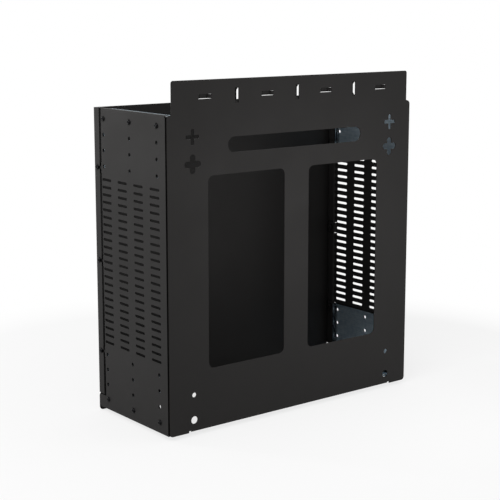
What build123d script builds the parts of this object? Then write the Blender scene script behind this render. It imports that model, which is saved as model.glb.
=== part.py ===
"""Low wall cabinet for rack equipment that hangs upright, in folded sheet steel.

Millimetres. The front cover faces -Y, the wall is at +Y, +Z is up. The origin is below the
middle of the cabinet, level with the lower edge of the front cover.
"""
import os

from build123d import *

os.makedirs("parts", exist_ok=True)

# Sheet and folds
sheet = 1.2
bend_inside = 1.5
bend_relief = 1.0
slit = 0.8
running_gap = 0.2

# Whole body
body_width = 500.0
body_height = 490.0
body_depth = 203.0
cover_drop = 7.0
pattern_rise = 0.75

# Back plate
plate_inset = 0.75
plate_corner = 6.0
lacing_height = 50.0
lacing_inset = 9.0
lacing_corner = 4.0
hem_side_gap = 11.5
hem_height = 10.0
hem_rise = 1.0
hem_relief_width = 5.0
hem_relief_height = 3.0

# Windows and cable slot in the back plate
window_width = 150.0
window_height = 300.0
window_corner = 10.0
window_bar = 50.0
cable_slot_width = 274.0
cable_slot_height = 24.0
cable_slot_drop = 50.0

# Lacing bridges along the top of the back plate
bridge_count = 7
bridge_pitch = 60.0
bridge_length = 24.0
bridge_width = 7.0
bridge_lift = 5.0
bridge_slit = 0.4
bridge_slope = 5.0
bridge_root = 1.0
bridge_bend = 1.6

# Wall fixings
stud_spacing = 406.4
upper_cross_drop = 34.0
upper_cross_span = 24.0
upper_cross_arm = 6.0
upper_cross_corner = 1.5
lower_cross_drop = 75.0
lower_cross_span = 30.0
lower_cross_arm = 10.0
small_hole_height = 59.0
small_hole = 7.5
large_hole_height = 19.0
large_hole = 12.0

# Side panels
panel_flange = 8.0
rear_flange = 30.0
groove_width = 4.0
corner_tab_height = 22.0
corner_tab_flange = 12.0
screw_tab_height = 18.0
screw_tab_joggle = 3.5

# Vents in the side panels
vent_columns = 4
vent_row_pitch = 12.0
vent_length = 26.0
vent_height = 4.3
vent_rear_margin = 19.75
vent_front_margin = 3.25
vent_end_margin = 18.0

# Front cover
cover_strip_depth = 16.5
cover_strip_lift = 24.0
cover_corner = 6.0
cover_screw_setback = 9.0
cover_screw_spacing = 150.0
cover_screws_per_side = 3
cover_slot = 4.6

# Rack rails
rail_sheet = 1.2
rail_bend_inside = 1.0
rail_leg = 99.7
rail_lip = 5.5
rail_flange_width = 23.4
rail_hole = 6.2
rail_hole_rows = 4
rail_hole_row_pitch = 25.0
rail_hole_columns = 3
rail_hole_rear_margin = 26.0
rail_hole_front_margin = 8.5
outer_row_inset = 17.25
rail_seat_gap = 0.1
rail_face_gap = 1.1
rail_relief = 2.0

# Rack mounting pattern
unit_height = 44.45
unit_holes = (6.35, 22.25, 38.1)
rack_hole_inset = 7.15
rack_hole = 7.0
rack_start_depth = 8.0
rack_flange_setback = 16.0

# Screws and nuts
screw_shank = 4.0
screw_head = 8.0
screw_head_height = 2.4
screw_head_edge = 0.7
screw_tip_past_nut = 0.8
nut_bore = 4.1
hex_nut_flats = 7.0
hex_nut_height = 3.2
clinch_nut_width = 8.0
clinch_nut_height = 3.2

# Places worked out from the sizes above
bend_middle = bend_inside + sheet / 2
bend_outside = bend_inside + sheet
end_relief = bend_outside + bend_relief
wall_y = body_depth / 2
body_bottom = cover_drop
body_top = body_bottom + body_height
pattern_z = (body_bottom + body_top) / 2 + pattern_rise
outer_x = body_width / 2
inner_x = outer_x - sheet
panel_x = outer_x - sheet / 2
flange_x = outer_x - panel_flange
plate_x = outer_x - plate_inset
hem_width = 2 * (outer_x - rear_flange - hem_side_gap)
panel_rear_depth = 2 * sheet
strip_edge_depth = body_depth - cover_strip_depth
front_fold_depth = strip_edge_depth - groove_width
front_fold_start = front_fold_depth - bend_outside
cover_inner_depth = body_depth - sheet
cover_screw_depth = body_depth - cover_screw_setback
tab_x = inner_x - running_gap - sheet / 2
tab_inner_x = tab_x - sheet / 2
tab_end_depth = cover_inner_depth - bend_inside - running_gap
corner_tab_depth = cover_inner_depth - running_gap
corner_tab_top = body_bottom + corner_tab_height
rail_face_z = body_top - sheet - rail_face_gap
rail_inner_x = inner_x - rail_sheet
rail_edge_x = inner_x - rail_flange_width
rail_start_depth = panel_rear_depth + bend_inside + rail_seat_gap
rail_end_depth = front_fold_start - rail_seat_gap
rail_lip_depth = front_fold_depth - sheet - running_gap
rail_bend_middle = rail_bend_inside + rail_sheet / 2
rail_lip_x = inner_x - rail_lip
rack_hole_x = rail_edge_x + rack_hole_inset
rack_end_depth = cover_inner_depth - rack_flange_setback
rack_units = int((rack_end_depth - rack_start_depth) // unit_height)
outer_row = body_height / 2 - outer_row_inset
rail_rows_span = (rail_hole_rows - 1) * rail_hole_row_pitch
rail_rows_offset = outer_row - rail_rows_span / 2
rail_columns_span = front_fold_depth - rail_hole_front_margin - rail_hole_rear_margin
rail_hole_column_pitch = rail_columns_span / (rail_hole_columns - 1)
rail_hole_centre_depth = rail_hole_rear_margin + rail_columns_span / 2
vent_columns_span = front_fold_depth - vent_front_margin - vent_rear_margin - vent_length
vent_column_pitch = vent_columns_span / (vent_columns - 1)
vent_centre_depth = vent_rear_margin + (vent_length + vent_columns_span) / 2
vent_rows = 2 * int((outer_row - rail_rows_span - vent_end_margin) // vent_row_pitch) + 1
cover_screw_heights = [
    pattern_z + (i - (cover_screws_per_side - 1) / 2) * cover_screw_spacing
    for i in range(cover_screws_per_side)
]

# The wall plane: its x is X, its y is Z and its normal points into the room
wall_plane = Plane.XZ.offset(-wall_y)


def at_depth(depth):
    """Y of a point this far from the wall."""
    return wall_y - depth


def folded(plane, points, gauge, radius):
    """Section of a folded sheet: its middle line with rounded corners, given its gauge."""
    with BuildSketch(plane) as section:
        with BuildLine():
            FilletPolyline(*points, radius=radius)
        trace(line_width=gauge)
    return section.sketch


def block(x_range, depth_range, z_range):
    """Box between two X values, two depths from the wall and two heights, not yet joined."""
    corner = Vector(x_range[0], at_depth(depth_range[1]), z_range[0])
    size = (x_range[1] - x_range[0], depth_range[1] - depth_range[0], z_range[1] - z_range[0])
    return Box(*size, align=(Align.MIN, Align.MIN, Align.MIN), mode=Mode.PRIVATE).moved(Location(corner))


# Back plate: flat sheet with the narrower lacing strip on top and a hem along the bottom
with BuildPart() as back_plate:
    with BuildSketch(wall_plane) as plate_outline:
        with Locations((0, body_bottom)):
            Rectangle(2 * plate_x, body_height, align=(Align.CENTER, Align.MIN))
        fillet(plate_outline.vertices().group_by(Axis.Z)[0], plate_corner)
        with Locations((0, body_bottom)):
            Rectangle(hem_width + 2 * hem_relief_width, hem_relief_height,
                      align=(Align.CENTER, Align.MIN), mode=Mode.SUBTRACT)
            Rectangle(hem_width, hem_relief_height, align=(Align.CENTER, Align.MIN))
            Rectangle(hem_width, hem_rise, align=(Align.CENTER, Align.MIN), mode=Mode.SUBTRACT)
    extrude(amount=sheet)
    with BuildSketch(wall_plane) as lacing_outline:
        with Locations((0, body_top - lacing_corner)):
            Rectangle(2 * (outer_x - lacing_inset), lacing_height + lacing_corner,
                      align=(Align.CENTER, Align.MIN))
        fillet(lacing_outline.vertices().group_by(Axis.Z)[-1], lacing_corner)
    extrude(amount=sheet)

    # Hem folded back on the inside, with its rounded lower edge
    with BuildSketch(Plane.YZ.offset(-hem_width / 2)):
        with Locations((at_depth(sheet), body_bottom + hem_rise + sheet)):
            Circle(sheet)
            Rectangle(2 * sheet, hem_height - sheet, align=(Align.CENTER, Align.MIN))
    extrude(amount=hem_width)
    with BuildSketch(Plane.YZ.offset(-hem_width / 2)) as hem_corner:
        with Locations((at_depth(0), body_bottom + hem_rise)):
            Rectangle(sheet, sheet, align=(Align.MAX, Align.MIN))
        with Locations((at_depth(sheet), body_bottom + hem_rise + sheet)):
            Circle(sheet, mode=Mode.SUBTRACT)
    extrude(amount=hem_width, mode=Mode.SUBTRACT)

    # Windows, cable slot, hanging crosses and lower fixing holes
    with BuildSketch(wall_plane):
        with Locations((0, pattern_z)):
            with GridLocations(window_width + window_bar, 0, 2, 1):
                RectangleRounded(window_width, window_height, window_corner)
        with Locations((0, body_top - cable_slot_drop)):
            SlotOverall(cable_slot_width, cable_slot_height)
        with Locations((0, body_bottom + small_hole_height)):
            with GridLocations(stud_spacing, 0, 2, 1):
                Circle(small_hole / 2)
        with Locations((0, body_bottom + large_hole_height)):
            with GridLocations(stud_spacing, 0, 2, 1):
                Circle(large_hole / 2)
    extrude(amount=sheet, mode=Mode.SUBTRACT)
    with BuildSketch(wall_plane):
        with Locations((0, body_top - upper_cross_drop)):
            with GridLocations(stud_spacing, 0, 2, 1):
                RectangleRounded(upper_cross_span, upper_cross_arm, upper_cross_corner)
                RectangleRounded(upper_cross_arm, upper_cross_span, upper_cross_corner)
        with Locations((0, body_top - lower_cross_drop)):
            with GridLocations(stud_spacing, 0, 2, 1):
                SlotOverall(lower_cross_span, lower_cross_arm)
                SlotOverall(lower_cross_span, lower_cross_arm, rotation=90)
    extrude(amount=sheet, mode=Mode.SUBTRACT)

    # Lacing bridges: a strip between two slits, pressed into the room, lying and upright in turn
    bridge_z = body_top + lacing_height / 2
    strip_width = bridge_width - 2 * bridge_slit
    half = bridge_length / 2
    middle = sheet / 2
    bridge_path = (
        (-half - bridge_root, middle),
        (-half, middle),
        (-half + bridge_slope, middle + bridge_lift),
        (half - bridge_slope, middle + bridge_lift),
        (half, middle),
        (half + bridge_root, middle),
    )
    for i in range(bridge_count):
        bridge_x = (i - (bridge_count - 1) / 2) * bridge_pitch
        lying = i % 2 == 0
        size = (bridge_length, bridge_width) if lying else (bridge_width, bridge_length)
        with BuildSketch(wall_plane):
            with Locations((bridge_x, bridge_z)):
                Rectangle(*size)
        extrude(amount=sheet, mode=Mode.SUBTRACT)
        if lying:
            plane = Plane.XY.offset(bridge_z - strip_width / 2)
            points = [(bridge_x + along, at_depth(depth)) for along, depth in bridge_path]
        else:
            plane = Plane.YZ.offset(bridge_x - strip_width / 2)
            points = [(at_depth(depth), bridge_z + along) for along, depth in bridge_path]
        extrude(folded(plane, points, sheet, bridge_bend), amount=strip_width)


# Side panel: folded tray with vents, rail holes, cover screw tabs and a front corner tab
with BuildPart() as side_panel_right:
    rear_z = (body_bottom + end_relief, body_top - end_relief)
    extrude(
        folded(
            Plane.XY.offset(rear_z[0]),
            [
                (outer_x - rear_flange, at_depth(panel_rear_depth - sheet / 2)),
                (panel_x, at_depth(panel_rear_depth - sheet / 2)),
                (panel_x, at_depth(front_fold_depth - sheet / 2)),
                (flange_x, at_depth(front_fold_depth - sheet / 2)),
            ],
            sheet,
            bend_middle,
        ),
        amount=rear_z[1] - rear_z[0],
    )

    # The front fold gives way to the corner tab and, between slits, to the screw tabs
    fold_cuts = [(rear_z[0] - slit, corner_tab_top + slit)]
    for height in cover_screw_heights:
        fold_cuts.append((height - screw_tab_height / 2 - slit, height + screw_tab_height / 2 + slit))
    for cut in fold_cuts:
        add(
            block((flange_x - slit, outer_x + slit), (front_fold_start, body_depth), cut),
            mode=Mode.SUBTRACT,
        )
    for height in cover_screw_heights:
        extrude(
            folded(
                Plane.XY.offset(height - screw_tab_height / 2),
                [
                    (panel_x, at_depth(front_fold_start - bend_outside)),
                    (panel_x, at_depth(front_fold_start + bend_relief)),
                    (tab_x, at_depth(front_fold_start + bend_relief + screw_tab_joggle)),
                    (tab_x, at_depth(tab_end_depth)),
                ],
                sheet,
                bend_middle,
            ),
            amount=screw_tab_height,
        )
    extrude(
        folded(
            Plane.XY.offset(rear_z[0]),
            [
                (panel_x, at_depth(front_fold_start - bend_outside)),
                (panel_x, at_depth(corner_tab_depth - sheet / 2)),
                (outer_x - corner_tab_flange, at_depth(corner_tab_depth - sheet / 2)),
            ],
            sheet,
            bend_middle,
        ),
        amount=corner_tab_top - rear_z[0],
    )

    # Top and bottom flanges, and the tongue that closes the groove beside the cover strip
    flange_start = panel_rear_depth + bend_inside + bend_relief
    for level, inward, end in (
        (body_top, -1, front_fold_start),
        (body_bottom, 1, corner_tab_depth - bend_outside - slit),
    ):
        extrude(
            folded(
                wall_plane.offset(flange_start),
                [
                    (flange_x, level + inward * sheet / 2),
                    (panel_x, level + inward * sheet / 2),
                    (panel_x, level + inward * (end_relief + slit)),
                ],
                sheet,
                bend_middle,
            ),
            amount=end - flange_start,
        )
    add(
        block(
            (flange_x, inner_x - running_gap),
            (front_fold_start - bend_outside, tab_end_depth),
            (body_top - sheet, body_top),
        )
    )

    # Vents
    with BuildSketch(Plane.YZ.offset(outer_x)):
        with Locations((at_depth(vent_centre_depth), pattern_z)):
            with GridLocations(vent_column_pitch, vent_row_pitch, vent_columns, vent_rows):
                SlotOverall(vent_length, vent_height)
    extrude(amount=-sheet, mode=Mode.SUBTRACT)

    # Holes for the rails, top and bottom, and for the cover's nuts
    with BuildSketch(Plane.YZ.offset(outer_x)):
        for side in (-1, 1):
            with Locations((at_depth(rail_hole_centre_depth), pattern_z + side * rail_rows_offset)):
                with GridLocations(
                    rail_hole_column_pitch, rail_hole_row_pitch, rail_hole_columns, rail_hole_rows
                ):
                    Circle(rail_hole / 2)
        with Locations(*[(at_depth(cover_screw_depth), height) for height in cover_screw_heights]):
            Circle(cover_slot / 2)
    extrude(amount=-2 * sheet - running_gap, mode=Mode.SUBTRACT)

with BuildPart() as side_panel_left:
    mirror(side_panel_right.part, about=Plane.YZ)


# Rack rail: leg on the side panel, rack flange across its end, stiffening lip along the front
with BuildPart() as rail_top_right:
    flange_z = rail_face_z - rail_sheet / 2
    leg_x = inner_x - rail_sheet / 2
    leg_bottom = rail_face_z - rail_leg
    extrude(
        folded(
            wall_plane.offset(rail_start_depth),
            [
                (rail_edge_x, flange_z),
                (leg_x, flange_z),
                (leg_x, leg_bottom),
            ],
            rail_sheet,
            rail_bend_middle,
        ),
        amount=rail_end_depth - rail_start_depth,
    )
    lip_top = rail_face_z - rail_sheet - rail_bend_inside - rail_relief
    add(
        block(
            (rail_lip_x - slit, outer_x),
            (rail_lip_depth - rail_sheet - rail_bend_inside, body_depth),
            (leg_bottom, lip_top),
        ),
        mode=Mode.SUBTRACT,
    )
    extrude(
        folded(
            Plane.XY.offset(leg_bottom),
            [
                (leg_x, at_depth(rail_end_depth - panel_flange)),
                (leg_x, at_depth(rail_lip_depth - rail_sheet / 2)),
                (rail_lip_x, at_depth(rail_lip_depth - rail_sheet / 2)),
            ],
            rail_sheet,
            rail_bend_middle,
        ),
        amount=lip_top - leg_bottom,
    )
    add(
        block(
            (rail_edge_x, flange_x - running_gap),
            (rail_end_depth - slit, rack_end_depth),
            (rail_face_z - rail_sheet, rail_face_z),
        )
    )
    with BuildSketch(Plane.XY.offset(rail_face_z)):
        for unit in range(rack_units):
            for offset in unit_holes:
                hole_depth = rack_start_depth + unit * unit_height + offset
                with Locations((rack_hole_x, at_depth(hole_depth))):
                    Circle(rack_hole / 2)
    extrude(amount=-rail_sheet, mode=Mode.SUBTRACT)
    with BuildSketch(Plane.YZ.offset(inner_x)):
        with Locations((at_depth(rail_hole_centre_depth), pattern_z + rail_rows_offset)):
            with GridLocations(
                rail_hole_column_pitch, rail_hole_row_pitch, rail_hole_columns, rail_hole_rows
            ):
                Circle(rail_hole / 2)
    extrude(amount=-rail_sheet, mode=Mode.SUBTRACT)

with BuildPart() as rail_top_left:
    mirror(rail_top_right.part, about=Plane.YZ)
with BuildPart() as rail_bottom_right:
    mirror(rail_top_right.part, about=Plane.XY.offset(pattern_z))
with BuildPart() as rail_bottom_left:
    mirror(rail_bottom_right.part, about=Plane.YZ)


# Front cover: flat front folded back into two side strips, with open slots for its screws
with BuildPart() as front_cover:
    strip_bottom = body_bottom + cover_strip_lift
    extrude(
        folded(
            Plane.XY.offset(strip_bottom),
            [
                (-panel_x, at_depth(strip_edge_depth)),
                (-panel_x, at_depth(body_depth - sheet / 2)),
                (panel_x, at_depth(body_depth - sheet / 2)),
                (panel_x, at_depth(strip_edge_depth)),
            ],
            sheet,
            bend_middle,
        ),
        amount=body_top - strip_bottom,
    )
    with BuildSketch(wall_plane.offset(cover_inner_depth)) as skirt_outline:
        with Locations((0, 0)):
            Rectangle(2 * (plate_x - running_gap), strip_bottom - slit, align=(Align.CENTER, Align.MIN))
        fillet(skirt_outline.vertices().group_by(Axis.Z)[0], cover_corner)
        with Locations((0, strip_bottom - 2 * slit)):
            Rectangle(2 * (outer_x - bend_outside), 3 * slit, align=(Align.CENTER, Align.MIN))
    extrude(amount=sheet)

    # Screw slots, open towards the wall, so that the loosened screws stay in the body
    slot_reach = cover_screw_depth - strip_edge_depth
    for side in (-1, 1):
        with BuildSketch(Plane.YZ.offset(side * outer_x)):
            for height in cover_screw_heights:
                with Locations((at_depth(cover_screw_depth), height)):
                    Circle(cover_slot / 2)
                    Rectangle(slot_reach + slit, cover_slot, align=(Align.MIN, Align.CENTER))
        extrude(amount=-side * sheet, mode=Mode.SUBTRACT)


def pan_screws(places, face_x, tip_x):
    """Pan head screws seated on the plane X = face_x, with shanks that end at tip_x."""
    with BuildPart() as group:
        with BuildSketch(Plane.YZ.offset(face_x)):
            with Locations(*places):
                Circle(screw_head / 2)
        extrude(amount=screw_head_height)
        chamfer(group.faces().sort_by(Axis.X).group_by(Axis.X)[-1].edges(), screw_head_edge)
        with BuildSketch(Plane.YZ.offset(tip_x)):
            with Locations(*places):
                Circle(screw_shank / 2)
        extrude(amount=face_x - tip_x)
    return group


def hex_nuts(places, seat_x):
    """Hexagon nuts whose outer faces lie on the plane X = seat_x."""
    with BuildPart() as group:
        with BuildSketch(Plane.YZ.offset(seat_x)):
            with Locations(*places):
                RegularPolygon(hex_nut_flats / 2, 6, major_radius=False)
                Circle(nut_bore / 2, mode=Mode.SUBTRACT)
        extrude(amount=-hex_nut_height)
    return group


def clinch_nuts(places, seat_x):
    """Round pressed nuts whose outer faces lie on the plane X = seat_x."""
    with BuildPart() as group:
        with BuildSketch(Plane.YZ.offset(seat_x)):
            with Locations(*places):
                Circle(clinch_nut_width / 2)
                Circle(nut_bore / 2, mode=Mode.SUBTRACT)
        extrude(amount=-clinch_nut_height)
    return group


rail_screw_depths = [
    rail_hole_centre_depth + (i - (rail_hole_columns - 1) / 2) * rail_hole_column_pitch
    for i in range(rail_hole_columns)
]
top_row_places = [(at_depth(depth), pattern_z + outer_row) for depth in rail_screw_depths]
bottom_row_places = [(at_depth(depth), pattern_z - outer_row) for depth in rail_screw_depths]
cover_places = [(at_depth(cover_screw_depth), height) for height in cover_screw_heights]
rail_tip_x = rail_inner_x - hex_nut_height - screw_tip_past_nut
cover_tip_x = tab_inner_x - clinch_nut_height - screw_tip_past_nut

rail_screws_top_right = pan_screws(top_row_places, outer_x, rail_tip_x)
rail_screws_bottom_right = pan_screws(bottom_row_places, outer_x, rail_tip_x)
cover_screws_right = pan_screws(cover_places, outer_x, cover_tip_x)
rail_nuts_top_right = hex_nuts(top_row_places, rail_inner_x)
rail_nuts_bottom_right = hex_nuts(bottom_row_places, rail_inner_x)
cover_nuts_right = clinch_nuts(cover_places, tab_inner_x)

with BuildPart() as rail_screws_top_left:
    mirror(rail_screws_top_right.part, about=Plane.YZ)
with BuildPart() as rail_screws_bottom_left:
    mirror(rail_screws_bottom_right.part, about=Plane.YZ)
with BuildPart() as cover_screws_left:
    mirror(cover_screws_right.part, about=Plane.YZ)
with BuildPart() as rail_nuts_top_left:
    mirror(rail_nuts_top_right.part, about=Plane.YZ)
with BuildPart() as rail_nuts_bottom_left:
    mirror(rail_nuts_bottom_right.part, about=Plane.YZ)
with BuildPart() as cover_nuts_left:
    mirror(cover_nuts_right.part, about=Plane.YZ)

pieces = {
    "back_plate": back_plate,
    "side_panel_right": side_panel_right,
    "side_panel_left": side_panel_left,
    "rail_top_right": rail_top_right,
    "rail_top_left": rail_top_left,
    "rail_bottom_right": rail_bottom_right,
    "rail_bottom_left": rail_bottom_left,
    "front_cover": front_cover,
    "rail_screws_top_right": rail_screws_top_right,
    "rail_screws_top_left": rail_screws_top_left,
    "rail_screws_bottom_right": rail_screws_bottom_right,
    "rail_screws_bottom_left": rail_screws_bottom_left,
    "cover_screws_right": cover_screws_right,
    "cover_screws_left": cover_screws_left,
    "rail_nuts_top_right": rail_nuts_top_right,
    "rail_nuts_top_left": rail_nuts_top_left,
    "rail_nuts_bottom_right": rail_nuts_bottom_right,
    "rail_nuts_bottom_left": rail_nuts_bottom_left,
    "cover_nuts_right": cover_nuts_right,
    "cover_nuts_left": cover_nuts_left,
}
for name, piece in pieces.items():
    piece.part.label = name
    export_step(piece.part, f"parts/{name}.step")
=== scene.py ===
"""Finishes, fasteners, light and camera for a low wall cabinet in folded sheet steel."""

import math

import bpy
import numpy as np
from mathutils import Matrix, Vector


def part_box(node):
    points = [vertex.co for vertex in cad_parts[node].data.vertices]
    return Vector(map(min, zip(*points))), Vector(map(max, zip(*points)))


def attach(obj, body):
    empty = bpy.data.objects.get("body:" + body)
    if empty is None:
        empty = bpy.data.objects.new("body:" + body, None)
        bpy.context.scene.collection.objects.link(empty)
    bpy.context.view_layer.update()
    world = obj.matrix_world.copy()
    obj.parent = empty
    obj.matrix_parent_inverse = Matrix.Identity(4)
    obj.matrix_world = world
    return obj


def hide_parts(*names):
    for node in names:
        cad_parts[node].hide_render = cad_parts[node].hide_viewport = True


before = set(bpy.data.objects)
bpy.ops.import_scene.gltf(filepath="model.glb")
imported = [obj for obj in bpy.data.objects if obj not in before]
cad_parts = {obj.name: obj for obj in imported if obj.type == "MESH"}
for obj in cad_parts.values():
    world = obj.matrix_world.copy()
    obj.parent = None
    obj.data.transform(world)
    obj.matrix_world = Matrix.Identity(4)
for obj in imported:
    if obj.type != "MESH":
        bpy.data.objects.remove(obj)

bl_info = {
    "name": "Low Wall Cabinet",
    "version": (1, 0, 0),
    "blender": (4, 5, 0),
    "location": "View3D > Sidebar > Cabinet",
    "description": "Finishes, fasteners and studio for a low wall cabinet in folded sheet steel",
    "category": "Object",
}

BODY = "cabinet"
SHEET_NODES = ("back_plate", "side_panel_right", "side_panel_left", "front_cover")
RAIL_NODES = ("rail_top_right", "rail_top_left", "rail_bottom_right", "rail_bottom_left")
RAIL_SCREW_NODES = tuple(name.replace("rail_", "rail_screws_", 1) for name in RAIL_NODES)
RAIL_NUT_NODES = tuple(name.replace("rail_", "rail_nuts_", 1) for name in RAIL_NODES)
COVER_SCREW_NODES = ("cover_screws_right", "cover_screws_left")
COVER_NUT_NODES = ("cover_nuts_right", "cover_nuts_left")
FASTENERS_PER_NODE = 3

PLATE_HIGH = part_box("back_plate")[1]
PANEL_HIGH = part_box("side_panel_right")[1]
HEAD_LOW, HEAD_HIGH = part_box("rail_screws_top_right")
NUT_LOW, NUT_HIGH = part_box("rail_nuts_top_right")
CLINCH_LOW, CLINCH_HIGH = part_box("cover_nuts_right")

POWDER_COAT = "matte_black_powder_coat"
BLUE_ZINC = "blue_passivated_zinc"
BLACK_OXIDE = "black_oxide_steel"
BRIGHT_ZINC = "bright_zinc_plate"

WHITE = (1.0, 1.0, 1.0, 1.0)
FULL_TURN = 2 * math.pi
COLUMNS = 48
HEXAGON = 6
ROUND = 0

# Camera from a fit to the photograph's edges, in degrees, millimetres and metres
CAMERA_HEADING = 38.186
CAMERA_DIP = 9.851
CAMERA_LENS = 91.29
CAMERA_SHIFT = -0.05
CAMERA_PLACE = (1.29349, 1.62569, 0.65594)

# Each light's name, the property that holds its power, its width, its place and its target
LIGHTS = (
    ("key_light", "key_power", 1.6, (1.9, 0.9, 2.3), (0.0, 0.0, 0.25)),
    ("fill_light", "fill_power", 0.25, (-0.25, 0.5, 0.3), (0.05, 0.1, 0.37)),
    ("side_light", "side_power", 0.2, (1.3, -1.6, 0.7), (0.25, 0.0, 0.35)),
)


class CabinetSizes(bpy.types.PropertyGroup):
    """Sizes of the fasteners, the coat and the studio."""

    head_diameter: bpy.props.FloatProperty(
        name="Head diameter", description="Across a pan head",
        default=HEAD_HIGH.z - HEAD_LOW.z, unit="LENGTH")
    head_height: bpy.props.FloatProperty(
        name="Head height", description="From the seat of a pan head to its top",
        default=HEAD_HIGH.x - PANEL_HIGH.x, unit="LENGTH")
    shank_diameter: bpy.props.FloatProperty(
        name="Shank diameter", description="Over the crests of a screw's thread",
        default=0.004, unit="LENGTH")
    thread_pitch: bpy.props.FloatProperty(
        name="Thread pitch", description="From one crest of the thread to the next",
        default=0.0007, unit="LENGTH")
    thread_depth: bpy.props.FloatProperty(
        name="Thread depth", description="From crest to root",
        default=0.00035, unit="LENGTH")
    recess_span: bpy.props.FloatProperty(
        name="Recess span", description="Across the cross recess of a screw head",
        default=0.0046, unit="LENGTH")
    recess_width: bpy.props.FloatProperty(
        name="Recess width", description="Width of one wing of the recess",
        default=0.0011, unit="LENGTH")
    recess_depth: bpy.props.FloatProperty(
        name="Recess depth", description="Depth in the middle of the recess",
        default=0.0015, unit="LENGTH")
    nut_flats: bpy.props.FloatProperty(
        name="Nut flats", description="Across the flats of a hexagon nut",
        default=0.007, unit="LENGTH")
    nut_bore: bpy.props.FloatProperty(
        name="Nut bore", description="Diameter of a nut's bore",
        default=0.0041, unit="LENGTH")
    peel_cell: bpy.props.FloatProperty(
        name="Peel cell", description="Width of one cell of the coat's orange peel",
        default=0.0011, unit="LENGTH")
    edge_radius: bpy.props.FloatProperty(
        name="Edge radius", description="How far the coat rounds over a sheet edge",
        default=0.0005, unit="LENGTH")
    # Reach of the painted shade in gaps and joints
    crevice_shade_reach: bpy.props.FloatProperty(
        name="Crevice reach", description="How near a facing surface darkens a gap or joint",
        default=0.003, unit="LENGTH")
    floor_reach: bpy.props.FloatProperty(
        name="Floor reach", description="Half the width of the floor",
        default=4.0, unit="LENGTH")


class CabinetFinish(bpy.types.PropertyGroup):
    """Colours of the finishes and strengths of the lights."""

    coat: bpy.props.FloatVectorProperty(
        name="Coat", description="Black powder coat", subtype="COLOR",
        size=3, min=0.0, max=1.0, default=(0.0044, 0.0042, 0.0041))
    coat_worn: bpy.props.FloatVectorProperty(
        name="Coat edge", description="Powder coat where it thins on an edge", subtype="COLOR",
        size=3, min=0.0, max=1.0, default=(0.050, 0.049, 0.048))
    zinc_blue: bpy.props.FloatVectorProperty(
        name="Zinc", description="Blue passivated zinc of the rails", subtype="COLOR",
        size=3, min=0.0, max=1.0, default=(0.46, 0.62, 0.75))
    zinc_pale: bpy.props.FloatVectorProperty(
        name="Pale zinc", description="Zinc where the passivation is thin", subtype="COLOR",
        size=3, min=0.0, max=1.0, default=(0.77, 0.89, 0.98))
    screw: bpy.props.FloatVectorProperty(
        name="Screws", description="Black oxide of the screws", subtype="COLOR",
        size=3, min=0.0, max=1.0, default=(0.0065, 0.0065, 0.007))
    nut: bpy.props.FloatVectorProperty(
        name="Nuts", description="Bright zinc of the nuts", subtype="COLOR",
        size=3, min=0.0, max=1.0, default=(0.52, 0.53, 0.54))
    floor: bpy.props.FloatVectorProperty(
        name="Floor", description="Pale studio floor", subtype="COLOR",
        size=3, min=0.0, max=1.0, default=(0.92, 0.92, 0.92))
    sky_strength: bpy.props.FloatProperty(
        name="Sky", description="Strength of the plain surround on the finishes",
        default=0.55)
    key_power: bpy.props.FloatProperty(
        name="Key light", description="Power of the large soft light",
        default=38.0, unit="POWER")
    fill_power: bpy.props.FloatProperty(
        name="Fill light", description="Power of the soft light on the back plate",
        default=0.6, unit="POWER")
    side_power: bpy.props.FloatProperty(
        name="Side light", description="Power of the small light along the side panel",
        default=6.5, unit="POWER")


def grid_faces(rows, columns, closed_rows=False):
    """Quads of a grid whose columns close on themselves, and whose rows do where that is asked."""
    row_count = rows if closed_rows else rows - 1
    low, side = np.meshgrid(np.arange(row_count), np.arange(columns), indexing="ij")
    high = (low + 1) % rows
    turn = (side + 1) % columns
    corners = (low * columns + side, low * columns + turn, high * columns + turn, high * columns + side)
    return np.stack(corners, axis=-1).reshape(-1, 4)


def mesh_piece(name, points, faces):
    """Mesh object at the origin from points in metres and quads, shaded smooth."""
    mesh = bpy.data.meshes.new(name)
    mesh.from_pydata(points.tolist(), [], faces.tolist())
    mesh.validate()
    mesh.update()
    mesh.shade_smooth()
    piece = bpy.data.objects.new(name, mesh)
    bpy.context.scene.collection.objects.link(piece)
    return piece


def fastener_places(node_name):
    """Middle points (Y, Z) of a node's like solids, which stand in a row, from its box."""
    low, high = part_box(node_name)
    low_yz = np.array((low.y, low.z))
    high_yz = np.array((high.y, high.z))
    radius = (high_yz - low_yz).min() / 2
    share = np.linspace(0.0, 1.0, FASTENERS_PER_NODE)[:, None]
    return (low_yz + radius) * (1 - share) + (high_yz - radius) * share


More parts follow.
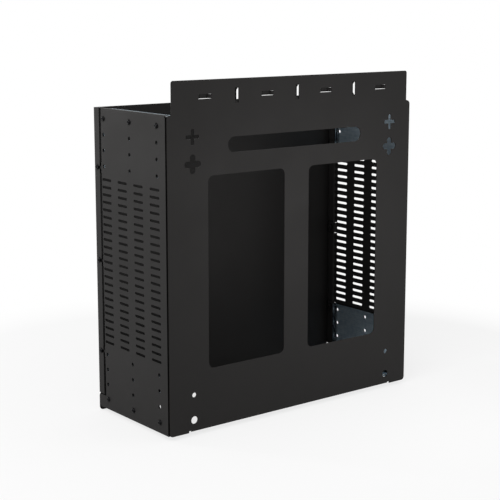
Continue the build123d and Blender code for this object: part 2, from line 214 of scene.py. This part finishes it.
def screw_surface(sizes, length, turn):
    """Pan head screw along +X with its seat at X = 0, as a profile turned about the axis.

    Each ring has a place s along the axis and a radius r. The thread takes depth * |2 f - 1| off the
    radius, where f is the fraction of (s / pitch - angle / full turn). The head's top is a flat crown
    whose height falls with the fourth power of the radius. The recess lowers the crown by its depth
    times 1.15 (1 - r / half span), kept from 0 to 1, inside two crossed wings with steep sides.
    """
    angle = np.linspace(0.0, FULL_TURN, COLUMNS, endpoint=False)
    shank = sizes.shank_diameter / 2
    head = sizes.head_diameter / 2
    height = sizes.head_height

    # The tip is a cone, the thread ends just under the seat, and the head's seat has a small bevel
    tip_length, tip_radius = 0.4 * shank, 0.72 * shank
    seat_clearance = 0.0001
    rings_per_pitch = 5
    bevel_in, bevel_out, bevel_rise = 0.00015, 0.00003, 0.00005
    rim_top, crown_foot = 0.12 * height, 0.16
    crown_start, crown_rings, crown_power = 0.06, 22, 4

    tip_s = np.array((-length, -length))
    tip_r = np.array((0.0, tip_radius))
    thread_s = np.arange(-length + tip_length, -seat_clearance, sizes.thread_pitch / rings_per_pitch)
    edge_s = np.array((0.0, 0.0, bevel_rise, rim_top))
    edge_r = np.array((shank, head - bevel_in, head - bevel_out, head))
    crown_r = head * np.cos(np.linspace(crown_start, math.pi / 2, crown_rings))
    crown_rise = 1 - (crown_r / head) ** crown_power
    crown_s = crown_foot * height + (1 - crown_foot) * height * crown_rise
    s = np.concatenate((tip_s, thread_s, edge_s, crown_s))
    r = np.concatenate((tip_r, np.full(thread_s.shape, shank), edge_r, crown_r))
    on_thread = np.zeros(s.shape)
    on_thread[len(tip_s):len(tip_s) + len(thread_s)] = 1.0
    on_crown = np.zeros(s.shape)
    on_crown[-len(crown_r):] = 1.0

    axial, around = np.meshgrid(s, angle, indexing="ij")
    radius = np.broadcast_to(r[:, None], axial.shape).copy()
    wave = np.abs(2 * ((axial / sizes.thread_pitch - around / FULL_TURN) % 1.0) - 1)
    radius -= on_thread[:, None] * sizes.thread_depth * wave

    # A wing's floor reaches 0.75 of its half width, and its side ends at 1.25
    wing_edge, wing_side, recess_steepness = 1.25, 0.5, 1.15
    half_span = sizes.recess_span / 2
    half_width = sizes.recess_width / 2
    across = radius * np.cos(around + turn)
    along = radius * np.sin(around + turn)
    off_wing = np.minimum(np.abs(across), np.abs(along))
    inside = np.clip((half_width * wing_edge - off_wing) / (half_width * wing_side), 0.0, 1.0)
    fall = np.clip(recess_steepness * (1 - radius / half_span), 0.0, 1.0)
    axial = axial - on_crown[:, None] * inside * fall * sizes.recess_depth
    points = np.stack((axial, radius * np.cos(around), radius * np.sin(around)), axis=-1)
    return points.reshape(-1, 3), grid_faces(len(s), COLUMNS)


def nut_surface(sizes, height, outer, sides):
    """Nut along -X from its seat at X = 0: a closed profile turned about the axis.

    A hexagon's radius at an angle is half its flats over the cosine of the angle from the nearest
    flat; a round nut's radius has a fine knurl. A cone takes the corners off at both ends. The
    bore's radius steps between its root and its crest.
    """
    angle = np.linspace(0.0, FULL_TURN, COLUMNS, endpoint=False)
    bore = sizes.nut_bore / 2
    bevel = 0.09 * height
    cone_slope = 1.5
    wall_rings, bore_rings = 4, 12
    bore_flare, thread_step = 0.00025, 0.00012
    knurl_share, knurl_count = 0.02, 24

    ends = np.array((0.0, bevel, 2 * bevel))
    wall = np.linspace(2 * bevel, height - 2 * bevel, wall_rings)[1:-1]
    outside = np.concatenate((ends, wall, height - ends[::-1]))
    inside = np.linspace(height - bevel, bevel, bore_rings)
    depth = np.concatenate((np.zeros(1), outside, np.full(1, height), inside))
    if sides == ROUND:
        side_radius = outer * (1 - knurl_share * (1 + np.cos(knurl_count * angle)) / 2)
    else:
        step = FULL_TURN / sides
        side_radius = outer / np.cos((angle + step / 2) % step - step / 2)
    cone = outer + np.minimum(outside, height - outside) * cone_slope
    rows = np.full((len(depth), COLUMNS), bore)
    rows[0] = bore + bore_flare
    rows[1:1 + len(outside)] = np.minimum(side_radius[None, :], cone[:, None])
    rows[1 + len(outside)] = bore + bore_flare
    rows[-len(inside):] -= thread_step * (np.arange(len(inside)) % 2)[:, None]
    across = rows * np.cos(angle)[None, :]
    along = rows * np.sin(angle)[None, :]
    points = np.stack((np.broadcast_to(-depth[:, None], rows.shape), across, along), axis=-1)
    faces = grid_faces(len(depth), COLUMNS, closed_rows=True)
    return points.reshape(-1, 3), faces[:, ::-1]


def set_like_pieces(name, node_name, surfaces, seat_x, way):
    """Piece made of like surfaces, set on a node's places and facing along +X or -X.

    The left side is the right side turned half a turn about Z, so X and Y change sign together.
    """
    points, faces, start = [], [], 0
    for (y, z), (local, quads) in zip(fastener_places(node_name), surfaces):
        placed = np.stack((seat_x + way * local[:, 0], y + way * local[:, 1], z + local[:, 2]), axis=-1)
        points.append(placed)
        faces.append(quads + start)
        start += len(local)
    return mesh_piece(name, np.concatenate(points), np.concatenate(faces))


def new_material(name):
    """Material with an empty tree but its output and a Principled shader; returns all three."""
    material = bpy.data.materials.new(name)
    material.use_nodes = True
    tree = material.node_tree
    tree.nodes.clear()
    output = tree.nodes.new("ShaderNodeOutputMaterial")
    shader = tree.nodes.new("ShaderNodeBsdfPrincipled")
    tree.links.new(shader.outputs["BSDF"], output.inputs["Surface"])
    return material, tree, shader


def new_group(name, inputs, outputs):
    """Shader node group with a Vector input, then float inputs with defaults.

    Outputs are floats, but one called Normal is a vector. Returns the group and its end nodes.
    """
    group = bpy.data.node_groups.new(name, "ShaderNodeTree")
    group.interface.new_socket(name="Vector", in_out="INPUT", socket_type="NodeSocketVector")
    for socket, value in inputs.items():
        made = group.interface.new_socket(name=socket, in_out="INPUT", socket_type="NodeSocketFloat")
        made.default_value = value
    for socket in outputs:
        kind = "NodeSocketVector" if socket == "Normal" else "NodeSocketFloat"
        group.interface.new_socket(name=socket, in_out="OUTPUT", socket_type=kind)
    source = group.nodes.new("NodeGroupInput")
    sink = group.nodes.new("NodeGroupOutput")
    return group, source, sink


def node(tree, kind, settings=None, values=None):
    """New node with its settings and the values of its unlinked inputs."""
    made = tree.nodes.new(kind)
    for key, value in (settings or {}).items():
        setattr(made, key, value)
    for key, value in (values or {}).items():
        made.inputs[key].default_value = value
    return made


def feed(tree, socket, value):
    """Links an input to a value that is a socket, or sets it to a plain value."""
    if isinstance(value, bpy.types.NodeSocket):
        tree.links.new(value, socket)
    else:
        socket.default_value = value


def maths(tree, operation, *values, clamp=False):
    """Math node on one to three inputs, each a socket or a number."""
    made = node(tree, "ShaderNodeMath", {"operation": operation, "use_clamp": clamp})
    for socket, value in zip(made.inputs, values):
        feed(tree, socket, value)
    return made.outputs["Value"]


def noise(tree, vector, scale, detail=2.0, roughness=0.5):
    """Noise texture on a vector socket; scale is a socket or a number. Returns its Fac."""
    made = node(tree, "ShaderNodeTexNoise", values={"Detail": detail, "Roughness": roughness})
    tree.links.new(vector, made.inputs["Vector"])
    feed(tree, made.inputs["Scale"], scale)
    return made.outputs["Fac"]


def spread(tree, value, low, high):
    """Map Range that stretches a value between two limits to 0 and 1, clamped."""
    made = node(tree, "ShaderNodeMapRange")
    tree.links.new(value, made.inputs["Value"])
    feed(tree, made.inputs["From Min"], low)
    feed(tree, made.inputs["From Max"], high)
    return made.outputs["Result"]


def mix_colour(tree, share, first, second):
    """Mix of two colours, each a socket or an RGB triple, by a share that is a socket."""
    made = node(tree, "ShaderNodeMix", {"data_type": "RGBA"})
    tree.links.new(share, made.inputs["Factor"])
    colours = [socket for socket in made.inputs if socket.type == "RGBA"]
    for socket, value in zip(colours, (first, second)):
        feed(tree, socket, value if isinstance(value, bpy.types.NodeSocket) else (*value, 1.0))
    return next(socket for socket in made.outputs if socket.type == "RGBA")


def parts_of(tree, vector):
    """X, Y and Z outputs of a vector socket."""
    split = node(tree, "ShaderNodeSeparateXYZ")
    tree.links.new(vector, split.inputs["Vector"])
    return split.outputs


def face_normal(tree):
    """Normal socket of the face that is shaded."""
    return node(tree, "ShaderNodeNewGeometry").outputs["Normal"]


def surface_grain_group():
    """Grain: fine cells as a height, soft clouds as a mottle, both from 0 to 1."""
    group, source, sink = new_group(
        "surface_grain", {"Grain Scale": 900.0, "Mottle Scale": 14.0}, ("Height", "Mottle"))
    vector = source.outputs["Vector"]
    cells = noise(group, vector, source.outputs["Grain Scale"], detail=1.5, roughness=0.45)
    clouds = noise(group, vector, source.outputs["Mottle Scale"], detail=3.0, roughness=0.55)
    group.links.new(spread(group, cells, 0.3, 0.7), sink.inputs["Height"])
    group.links.new(spread(group, clouds, 0.32, 0.68), sink.inputs["Mottle"])
    return group


def rounded_edge_group():
    """Edge: a normal that rounds over sharp edges, and a broken mask along them.

    The mask is how far the rounded normal leaves the face's own, times a noise.
    """
    group, source, sink = new_group(
        "rounded_edge", {"Radius": 0.0005, "Break Scale": 120.0}, ("Normal", "Mask"))
    bevel = node(group, "ShaderNodeBevel", {"samples": 4})
    group.links.new(source.outputs["Radius"], bevel.inputs["Radius"])
    dot = node(group, "ShaderNodeVectorMath", {"operation": "DOT_PRODUCT"})
    group.links.new(bevel.outputs["Normal"], dot.inputs[0])
    group.links.new(face_normal(group), dot.inputs[1])
    bend = maths(group, "SUBTRACT", 1.0, dot.outputs["Value"], clamp=True)
    broken = noise(group, source.outputs["Vector"], source.outputs["Break Scale"], detail=3.0)
    worn = maths(group, "MULTIPLY", spread(group, bend, 0.01, 0.25), spread(group, broken, 0.35, 0.6))
    group.links.new(bevel.outputs["Normal"], sink.inputs["Normal"])
    group.links.new(worn, sink.inputs["Mask"])
    return group


def crevice_shade_group():
    """Crevice shade: a mask for painted shade, 1 deep in a gap or joint, 0 on open faces, a little
    broken up.

    Open and Closed are the shares of unblocked sky within Reach at which the mask is 0 and 1.
    """
    group, source, sink = new_group(
        "crevice", {"Reach": 0.003, "Open": 0.78, "Closed": 0.45}, ("Mask",))
    break_scale, break_size = 400.0, 0.1
    around = node(group, "ShaderNodeAmbientOcclusion", {"samples": 8})
    group.links.new(source.outputs["Reach"], around.inputs["Distance"])
    broken = maths(group, "MULTIPLY", noise(group, source.outputs["Vector"], break_scale), break_size)
    raised = maths(group, "ADD", around.outputs["AO"], broken)
    level = maths(group, "SUBTRACT", raised, break_size / 2)
    mask = spread(group, level, source.outputs["Open"], source.outputs["Closed"])
    group.links.new(mask, sink.inputs["Mask"])
    return group


def corner_shade_group():
    """Corner shade: painted shade mask on the upright corner where the plate's edge meets a panel's
    bend.

    It is 1 where both the distance from the middle plane and Y pass their limits, on faces that
    don't look along Y.
    """
    group, source, sink = new_group("corner_joint", {"Width": 0.2474, "Depth": 0.0975}, ("Mask",))
    edge_fade = 0.0008
    place = parts_of(group, source.outputs["Vector"])
    beyond = maths(group, "SUBTRACT", maths(group, "ABSOLUTE", place["X"]), source.outputs["Width"])
    behind = maths(group, "SUBTRACT", place["Y"], source.outputs["Depth"])
    along_y = maths(group, "ABSOLUTE", parts_of(group, face_normal(group))["Y"])
    wide = spread(group, beyond, 0.0, edge_fade)
    deep = spread(group, behind, 0.0, edge_fade)
    turned = spread(group, along_y, 0.93, 0.8)
    corner = maths(group, "MULTIPLY", wide, deep)
    group.links.new(maths(group, "MULTIPLY", corner, turned), sink.inputs["Mask"])
    return group


def dust_veil_group():
    """Dust: a thin mask on faces that look up, in clouds."""
    group, source, sink = new_group("dust_veil", {"Scale": 60.0, "Amount": 0.1}, ("Mask",))
    upward = spread(group, parts_of(group, face_normal(group))["Z"], 0.5, 1.0)
    cloudy = noise(group, source.outputs["Vector"], source.outputs["Scale"], detail=4.0)
    clouds = spread(group, cloudy, 0.4, 0.7)
    amount = maths(group, "MULTIPLY", upward, source.outputs["Amount"])
    group.links.new(maths(group, "MULTIPLY", amount, clouds), sink.inputs["Mask"])
    return group


def place_group(tree, name, vector, values):
    """Places a shared group in a material's tree, on its Object coordinates, with own values."""
    made = node(tree, "ShaderNodeGroup", {"node_tree": bpy.data.node_groups[name]}, values)
    tree.links.new(vector, made.inputs["Vector"])
    return made


def set_roughness(tree, shader, pattern, base, swing):
    """Roughness that rises from a base by a swing where a pattern goes from 0 to 1."""
    rough = maths(tree, "MULTIPLY_ADD", pattern, swing, base)
    tree.links.new(rough, shader.inputs["Roughness"])


def set_bump(tree, shader, height, normal, distance, strength):
    """Bump from a height, on top of a normal, into the shader."""
    bump = node(tree, "ShaderNodeBump", values={"Strength": strength, "Distance": distance})
    tree.links.new(height, bump.inputs["Height"])
    tree.links.new(normal, bump.inputs["Normal"])
    tree.links.new(bump.outputs["Normal"], shader.inputs["Normal"])


def powder_coat_material(sizes, finish):
    """Matte black powder coat: orange peel, cloudy roughness, thin pale edges, faint dust on top.

    Painted shade: gaps and the upright corner go near black and turn metallic, which takes their sheen
    away.
    """
    material, tree, shader = new_material(POWDER_COAT)
    place = node(tree, "ShaderNodeTexCoord").outputs["Object"]
    corner_shade_width, corner_shade_depth = 0.0026, 0.0040
    dust_colour = (0.32, 0.31, 0.29)
    # Near black of the painted shade in gaps and on the upright corner
    painted_shade_colour = (0.0012, 0.0012, 0.0012)
    grain = place_group(
        tree, "surface_grain", place, {"Grain Scale": 1 / sizes.peel_cell, "Mottle Scale": 11.0})
    edge = place_group(
        tree, "rounded_edge", place, {"Radius": sizes.edge_radius, "Break Scale": 140.0})
    dust = place_group(tree, "dust_veil", place, {"Scale": 45.0, "Amount": 0.06})
    # Painted shade in gaps, hole walls and around the screw heads
    crevice = place_group(
        tree, "crevice", place, {"Reach": sizes.crevice_shade_reach, "Open": 0.95, "Closed": 0.72})
    # Painted shade along the upright corner where the plate meets a panel
    joint = place_group(
        tree, "corner_joint", place,
        {"Width": PLATE_HIGH.x - corner_shade_width, "Depth": PLATE_HIGH.y - corner_shade_depth})

    coat = tuple(finish.coat)
    cloud = tuple(1.22 * part for part in coat)
    clouded = mix_colour(tree, grain.outputs["Mottle"], coat, cloud)
    thinned = maths(tree, "MULTIPLY", edge.outputs["Mask"], 0.5)
    edged = mix_colour(tree, thinned, clouded, tuple(finish.coat_worn))
    dusted = mix_colour(tree, dust.outputs["Mask"], edged, dust_colour)
    # Painted shade: the gap and corner masks take the coat to near black
    gap = maths(tree, "MAXIMUM", crevice.outputs["Mask"], joint.outputs["Mask"])
    shaded = mix_colour(tree, gap, dusted, painted_shade_colour)
    tree.links.new(shaded, shader.inputs["Base Color"])
    # The painted shade also turns these places metallic, which takes their sheen away
    tree.links.new(gap, shader.inputs["Metallic"])
    set_roughness(tree, shader, grain.outputs["Mottle"], base=0.56, swing=0.07)
    shader.inputs["Specular IOR Level"].default_value = 0.26
    shader.inputs["Specular Tint"].default_value = (1.0, 0.962, 0.945, 1.0)
    set_bump(tree, shader, grain.outputs["Height"], edge.outputs["Normal"], 0.00006, 0.5)
    return material


def zinc_material(sizes, finish):
    """Blue passivated zinc on rolled sheet: cloudy tint, rolling streaks, painted shade in gaps.

    Sheared edges and hole walls that look along Y are painted near black, partly as unplated steel
    and partly as painted shade that takes their glints away. The folded lips look along Y too, but
    they are zinc, so nothing in front of their back face is darkened this way.
    """
    material, tree, shader = new_material(BLUE_ZINC)
    place = node(tree, "ShaderNodeTexCoord").outputs["Object"]
    lip_back, lip_fade = -0.0780, 0.0005
    edge_colour = (0.62, 0.66, 0.69)
    # Near black of unplated steel and of painted shade
    bare_and_shade_colour = (0.008, 0.009, 0.010)
    grain = place_group(
        tree, "surface_grain", place, {"Grain Scale": 700.0, "Mottle Scale": 150.0})
    edge = place_group(
        tree, "rounded_edge", place, {"Radius": 0.6 * sizes.edge_radius, "Break Scale": 90.0})
    # Painted shade in gaps, reaching wider so the lips and hole walls go dark
    crevice = place_group(
        tree, "crevice", place, {"Reach": 3 * sizes.crevice_shade_reach, "Open": 0.95, "Closed": 0.77})

    rolled = node(tree, "ShaderNodeMapping", values={"Scale": (1.0, 0.03, 1.0)})
    tree.links.new(place, rolled.inputs["Vector"])
    streak = spread(tree, noise(tree, rolled.outputs["Vector"], 800.0, detail=3.0), 0.35, 0.65)
    tint = maths(tree, "MULTIPLY", maths(tree, "ADD", grain.outputs["Mottle"], streak), 0.5)
    tinted = mix_colour(tree, tint, tuple(finish.zinc_blue), tuple(finish.zinc_pale))
    polished = maths(tree, "MULTIPLY", edge.outputs["Mask"], 0.3)
    edged = mix_colour(tree, polished, tinted, edge_colour)
    # Faces that look along Y go near black: unplated sheared steel and painted shade that hides glints
    along_y = maths(tree, "ABSOLUTE", parts_of(tree, face_normal(tree))["Y"])
    sheared_and_shade = spread(tree, along_y, 0.5, 0.8)
    behind_lip = spread(tree, parts_of(tree, place)["Y"], lip_back - lip_fade, lip_back + lip_fade)
    bare_and_shade = maths(tree, "MAXIMUM", crevice.outputs["Mask"], maths(tree, "MULTIPLY", sheared_and_shade, behind_lip))
    shaded = mix_colour(tree, bare_and_shade, edged, bare_and_shade_colour)
    tree.links.new(shaded, shader.inputs["Base Color"])
    shader.inputs["Metallic"].default_value = 1.0
    set_roughness(tree, shader, streak, base=0.34, swing=0.10)
    set_bump(tree, shader, streak, edge.outputs["Normal"], 0.00003, 0.35)
    return material


def fastener_steel(name, grain_scale, mottle_scale):
    """Metal for small parts with fine grain and narrow edges; returns what its finish needs."""
    material, tree, shader = new_material(name)
    place = node(tree, "ShaderNodeTexCoord").outputs["Object"]
    grain = place_group(
        tree, "surface_grain", place, {"Grain Scale": grain_scale, "Mottle Scale": mottle_scale})
    edge = place_group(tree, "rounded_edge", place, {"Radius": 0.0002, "Break Scale": 900.0})
    shader.inputs["Metallic"].default_value = 1.0
    return material, tree, shader, grain, edge


def screw_material(finish):
    """Black oxide steel: near black, a little glossy, rubbed on its crests."""
    material, tree, shader, grain, edge = fastener_steel(BLACK_OXIDE, 2600.0, 500.0)
    rubbed_colour = (0.10, 0.10, 0.10)
    black = tuple(finish.screw)
    cloud = tuple(1.5 * part for part in black)
    clouded = mix_colour(tree, grain.outputs["Mottle"], black, cloud)
    crests = maths(tree, "MULTIPLY", edge.outputs["Mask"], 0.2)
    rubbed = mix_colour(tree, crests, clouded, rubbed_colour)
    tree.links.new(rubbed, shader.inputs["Base Color"])
    set_roughness(tree, shader, grain.outputs["Mottle"], base=0.22, swing=0.12)
    set_bump(tree, shader, grain.outputs["Height"], edge.outputs["Normal"], 0.00002, 0.4)
    return material


def nut_material(finish):
    """Bright zinc plate: pale metal with small clouds."""
    material, tree, shader, grain, edge = fastener_steel(BRIGHT_ZINC, 2200.0, 350.0)
    zinc = tuple(finish.nut)
    cloud = tuple(0.8 * part for part in zinc)
    clouded = mix_colour(tree, grain.outputs["Mottle"], zinc, cloud)
    tree.links.new(clouded, shader.inputs["Base Color"])
    set_roughness(tree, shader, grain.outputs["Mottle"], base=0.28, swing=0.12)
    set_bump(tree, shader, grain.outputs["Height"], edge.outputs["Normal"], 0.00002, 0.3)
    return material


def finish_named(name):
    """Material made by an earlier step; an error names the step that is missing."""
    material = bpy.data.materials.get(name)
    if material is None:
        raise RuntimeError(f"{name} is not made yet: run Make finishes first")
    return material


def dress_nodes(nodes, material_name):
    """Gives carried-over CAD nodes a finish through their material slots."""
    for name in nodes:
        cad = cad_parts[name]
        if not cad.material_slots:
            cad.data.materials.append(None)
        for held in cad.material_slots:
            held.material = finish_named(material_name)


def seat_piece(piece, node_name, material_name):
    """Finishes a fastener piece, lets it ride on the cabinet and stand for its CAD node."""
    piece.data.materials.append(finish_named(material_name))
    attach(piece, BODY)
    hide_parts(node_name)


def side_of(node_name):
    """+1 for the right-hand side of the cabinet, which lies towards +X, and -1 for the left."""
    return 1 if node_name.endswith("right") else -1


def build_screws(nodes, sizes):
    """Like screws for each node, with their drive recesses at uneven turns."""
    turns = np.random.default_rng(4).uniform(0.0, math.pi / 2, (len(nodes), FASTENERS_PER_NODE))
    for node_name, node_turns in zip(nodes, turns):
        low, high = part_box(node_name)
        way = side_of(node_name)
        seat_x = way * PANEL_HIGH.x
        tip_x = low.x if way > 0 else high.x
        length = abs(seat_x - tip_x)
        surfaces = [screw_surface(sizes, length, turn) for turn in node_turns]
        piece = set_like_pieces(node_name + "_pan_head", node_name, surfaces, seat_x, way)
        seat_piece(piece, node_name, BLACK_OXIDE)


def build_nuts(nodes, surface, material_name):
    """Like nuts of one surface for each node, on their CAD seats."""
    for node_name in nodes:
        low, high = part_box(node_name)
        way = side_of(node_name)
        seat_x = high.x if way > 0 else low.x
        surfaces = [surface] * FASTENERS_PER_NODE
        piece = set_like_pieces(node_name + "_threaded", node_name, surfaces, seat_x, way)
        seat_piece(piece, node_name, material_name)


class CABINET_OT_make_finishes(bpy.types.Operator):
    """Make the shared node groups and the four finishes."""

    bl_idname = "cabinet.make_finishes"
    bl_label = "Make finishes"

    def execute(self, context):
        sizes = context.scene.cabinet_sizes
        finish = context.scene.cabinet_finish
        surface_grain_group()
        rounded_edge_group()
        crevice_shade_group()
        corner_shade_group()
        dust_veil_group()
        powder_coat_material(sizes, finish)
        zinc_material(sizes, finish)
        screw_material(finish)
        nut_material(finish)
        return {"FINISHED"}


class CABINET_OT_coat_sheets(bpy.types.Operator):
    """Powder coat the back plate, the side panels and the front cover."""

    bl_idname = "cabinet.coat_sheets"
    bl_label = "Coat sheet steel"

    def execute(self, context):
        dress_nodes(SHEET_NODES, POWDER_COAT)
        return {"FINISHED"}


class CABINET_OT_plate_rails(bpy.types.Operator):
    """Zinc plate the four rack rails."""

    bl_idname = "cabinet.plate_rails"
    bl_label = "Plate rails"

    def execute(self, context):
        dress_nodes(RAIL_NODES, BLUE_ZINC)
        return {"FINISHED"}


class CABINET_OT_rail_screws(bpy.types.Operator):
    """Pan head screws that hold the rails to the side panels."""

    bl_idname = "cabinet.rail_screws"
    bl_label = "Rail screws"

    def execute(self, context):
        build_screws(RAIL_SCREW_NODES, context.scene.cabinet_sizes)
        return {"FINISHED"}


class CABINET_OT_cover_screws(bpy.types.Operator):
    """Pan head screws that hold the front cover's side strips."""

    bl_idname = "cabinet.cover_screws"
    bl_label = "Cover screws"

    def execute(self, context):
        build_screws(COVER_SCREW_NODES, context.scene.cabinet_sizes)
        return {"FINISHED"}


class CABINET_OT_rail_nuts(bpy.types.Operator):
    """Hexagon nuts inside the rails."""

    bl_idname = "cabinet.rail_nuts"
    bl_label = "Rail nuts"

    def execute(self, context):
        sizes = context.scene.cabinet_sizes
        surface = nut_surface(sizes, NUT_HIGH.x - NUT_LOW.x, sizes.nut_flats / 2, HEXAGON)
        build_nuts(RAIL_NUT_NODES, surface, BRIGHT_ZINC)
        return {"FINISHED"}


class CABINET_OT_cover_nuts(bpy.types.Operator):
    """Round nuts behind the cover's screws, pressed in before the coat."""

    bl_idname = "cabinet.cover_nuts"
    bl_label = "Cover nuts"

    def execute(self, context):
        sizes = context.scene.cabinet_sizes
        outer = (CLINCH_HIGH.y - CLINCH_LOW.y) / 2
        surface = nut_surface(sizes, CLINCH_HIGH.x - CLINCH_LOW.x, outer, ROUND)
        build_nuts(COVER_NUT_NODES, surface, POWDER_COAT)
        return {"FINISHED"}


def floor_material(finish):
    """Pale floor that keeps the shadow near the cabinet and turns plain white further out.

    Camera and transmission rays see it at least 0.76 white, so the shadow stays light. Glossy rays
    see white only further out, so the sheet steel reflects the real floor close by.
    """
    material, tree, shader = new_material("pale_studio_floor")
    output = next(found for found in tree.nodes if found.bl_idname == "ShaderNodeOutputMaterial")
    shadow_start, shadow_end, least_white = 0.2, 0.85, 0.76
    shader.inputs["Base Color"].default_value = (*finish.floor, 1.0)
    shader.inputs["Roughness"].default_value = 0.8
    shader.inputs["Specular IOR Level"].default_value = 0.2
    white = node(tree, "ShaderNodeEmission", values={"Color": WHITE, "Strength": 1.0})
    distance = node(tree, "ShaderNodeVectorMath", {"operation": "LENGTH"})
    tree.links.new(node(tree, "ShaderNodeTexCoord").outputs["Object"], distance.inputs[0])
    far = spread(tree, distance.outputs["Value"], shadow_start, shadow_end)
    far.node.interpolation_type = "SMOOTHSTEP"
    path = node(tree, "ShaderNodeLightPath").outputs
    looked = maths(tree, "MAXIMUM", path["Is Camera Ray"], path["Is Transmission Ray"])
    near = maths(tree, "MULTIPLY", looked, maths(tree, "MAXIMUM", far, least_white))
    mirrored = maths(tree, "MULTIPLY", path["Is Glossy Ray"], far)
    mix = node(tree, "ShaderNodeMixShader")
    tree.links.new(maths(tree, "MAXIMUM", near, mirrored), mix.inputs["Fac"])
    tree.links.new(shader.outputs["BSDF"], mix.inputs[1])
    tree.links.new(white.outputs["Emission"], mix.inputs[2])
    tree.links.new(mix.outputs["Shader"], output.inputs["Surface"])
    return material


def soft_light(name, power, width, place, target):
    """Square area light at a place, turned towards a target."""
    data = bpy.data.lights.new(name, "AREA")
    data.energy = power
    data.shape = "RECTANGLE"
    data.size = data.size_y = width
    lamp = bpy.data.objects.new(name, data)
    bpy.context.scene.collection.objects.link(lamp)
    lamp.location = place
    lamp.rotation_euler = (Vector(target) - Vector(place)).to_track_quat("-Z", "Y").to_euler()
    return lamp


def studio_world(finish):
    """World that is plain white where it is seen or reflected, and softer where it lights."""
    world = bpy.data.worlds.new("plain_surround")
    world.use_nodes = True
    tree = world.node_tree
    tree.nodes.clear()
    output = tree.nodes.new("ShaderNodeOutputWorld")
    path = node(tree, "ShaderNodeLightPath").outputs
    seen = maths(tree, "MAXIMUM", path["Is Camera Ray"], path["Is Glossy Ray"])
    plain = maths(tree, "MAXIMUM", seen, path["Is Transmission Ray"])
    strength = node(
        tree, "ShaderNodeMapRange", values={"To Min": finish.sky_strength, "To Max": 1.0})
    tree.links.new(plain, strength.inputs["Value"])
    background = node(tree, "ShaderNodeBackground", values={"Color": WHITE})
    tree.links.new(strength.outputs["Result"], background.inputs["Strength"])
    tree.links.new(background.outputs["Background"], output.inputs["Surface"])
    bpy.context.scene.world = world


def studio_camera():
    """Camera at the photograph's angle: place, heading, dip and lens from a fit to its edges."""
    heading, dip = math.radians(CAMERA_HEADING), math.radians(CAMERA_DIP)
    level = math.cos(dip)
    forward = Vector((-math.sin(heading) * level, -math.cos(heading) * level, -math.sin(dip)))
    right = forward.cross(Vector((0.0, 0.0, 1.0))).normalized()
    up = right.cross(forward)
    data = bpy.data.cameras.new("photo_camera")
    data.lens = CAMERA_LENS
    data.sensor_width = 36.0
    data.shift_y = CAMERA_SHIFT
    data.clip_start = 0.05
    camera = bpy.data.objects.new("photo_camera", data)
    bpy.context.scene.collection.objects.link(camera)
    turn = Matrix((right, up, -forward)).transposed()
    camera.matrix_world = Matrix.Translation(CAMERA_PLACE) @ turn.to_4x4()
    bpy.context.scene.camera = camera


class CABINET_OT_stage(bpy.types.Operator):
    """Floor, surround, soft lights and camera."""

    bl_idname = "cabinet.stage"
    bl_label = "Stage"

    def execute(self, context):
        scene = context.scene
        finish = scene.cabinet_finish
        reach = scene.cabinet_sizes.floor_reach
        corners = reach * np.array(((-1, -1, 0), (1, -1, 0), (1, 1, 0), (-1, 1, 0)))
        floor = mesh_piece("studio_floor", corners, np.arange(4).reshape(1, 4))
        floor.data.materials.append(floor_material(finish))
        studio_world(finish)
        for name, power, width, place, target in LIGHTS:
            soft_light(name, getattr(finish, power), width, place, target)
        scene.view_settings.view_transform = "Standard"
        studio_camera()
        return {"FINISHED"}


STEPS = (
    CABINET_OT_make_finishes,
    CABINET_OT_coat_sheets,
    CABINET_OT_plate_rails,
    CABINET_OT_rail_screws,
    CABINET_OT_cover_screws,
    CABINET_OT_rail_nuts,
    CABINET_OT_cover_nuts,
    CABINET_OT_stage,
)


class CABINET_PT_sidebar(bpy.types.Panel):
    """Sidebar panel that lists the steps, the sizes and the colours."""

    bl_idname = "CABINET_PT_sidebar"
    bl_label = "Low Wall Cabinet"
    bl_space_type = "VIEW_3D"
    bl_region_type = "UI"
    bl_category = "Cabinet"

    def draw(self, context):
        for step in STEPS:
            self.layout.operator(step.bl_idname, text=step.bl_label)
        for group in (context.scene.cabinet_sizes, context.scene.cabinet_finish):
            box = self.layout.box()
            for name in group.bl_rna.properties.keys():
                if name not in ("rna_type", "name"):
                    box.prop(group, name)


CLASSES = (CabinetSizes, CabinetFinish, *STEPS, CABINET_PT_sidebar)


def register():
    for cls in CLASSES:
        bpy.utils.register_class(cls)
    bpy.types.Scene.cabinet_sizes = bpy.props.PointerProperty(type=CabinetSizes)
    bpy.types.Scene.cabinet_finish = bpy.props.PointerProperty(type=CabinetFinish)


def unregister():
    del bpy.types.Scene.cabinet_finish
    del bpy.types.Scene.cabinet_sizes
    for cls in reversed(CLASSES):
        bpy.utils.unregister_class(cls)


def main():
    """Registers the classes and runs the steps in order."""
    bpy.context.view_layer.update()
    register()
    bpy.ops.cabinet.make_finishes()
    bpy.ops.cabinet.coat_sheets()
    bpy.ops.cabinet.plate_rails()
    bpy.ops.cabinet.rail_screws()
    bpy.ops.cabinet.cover_screws()
    bpy.ops.cabinet.rail_nuts()
    bpy.ops.cabinet.cover_nuts()
    bpy.ops.cabinet.stage()


if __name__ == "__main__":
    main()
